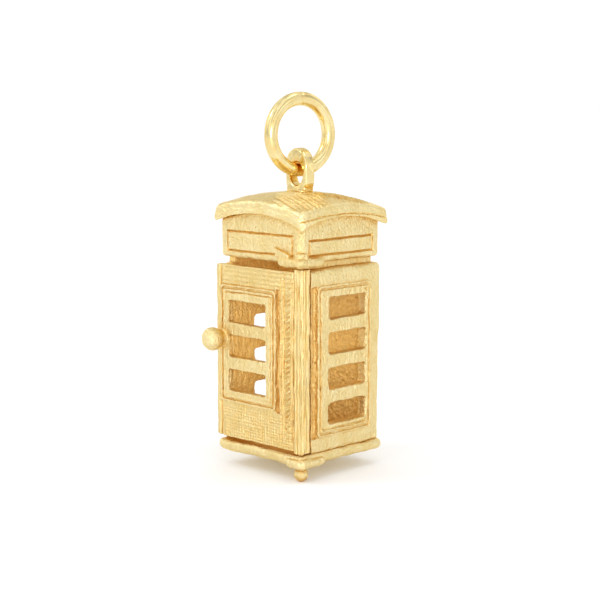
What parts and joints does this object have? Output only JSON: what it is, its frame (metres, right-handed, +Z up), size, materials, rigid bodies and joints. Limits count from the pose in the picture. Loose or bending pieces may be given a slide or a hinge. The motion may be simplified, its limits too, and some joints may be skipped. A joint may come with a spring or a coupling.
{
  "type": "telephone booth charm",
  "caption": "Gold pendant charm shaped as a street telephone booth, with a corner-hinged windowed door and a bail that swings on a jump ring.",
  "frame": {"origin": "centre of the jump ring, from which the charm hangs", "axes": "+Z up; -Y towards the door's face; +X towards the side of the booth that carries the door hinge"},
  "size_m": [0.01, 0.0112, 0.0294],
  "materials": {
    "cast_gold": "satin cast surface",
    "filed_gold": "satin with fine file marks",
    "polished_gold": "polished"
  },
  "bodies": {
    "ring": {"jump_ring": "polished_gold"},
    "booth": {"bail": "polished_gold", "roof_dome": "filed_gold", "roof_rim": "cast_gold", "fascia_box": "cast_gold", "neck_band": "cast_gold", "back_wall": "cast_gold", "left_wall": "cast_gold", "right_wall": "cast_gold", "left_window_frame": "cast_gold", "right_window_frame": "cast_gold", "base_plate": "cast_gold", "top_hinge_lug": "cast_gold", "top_pivot_pin": "polished_gold", "base_hinge_lug": "cast_gold", "base_pivot_pin": "polished_gold", "front_sign_panel": "cast_gold", "back_sign_panel": "cast_gold", "left_sign_panel": "cast_gold", "right_sign_panel": "cast_gold"},
    "door": {"door_panel": "cast_gold", "door_window_frame": "cast_gold", "door_hinge_post": "cast_gold", "door_knob": "polished_gold"}
  },
  "joints": [
    {"name": "ring_swing", "type": "hinge", "parent": "ring", "child": "booth", "pos_m": [0, 0, -0.00275], "axis": [0.165, 0.9863, 0], "range_deg": [-105, 105]},
    {"name": "door_hinge", "type": "hinge", "parent": "booth", "child": "door", "pos_m": [0.0041, -0.00406, -0.01692], "axis": [0, 0, 1], "range_deg": [0, 180]}
  ]
}
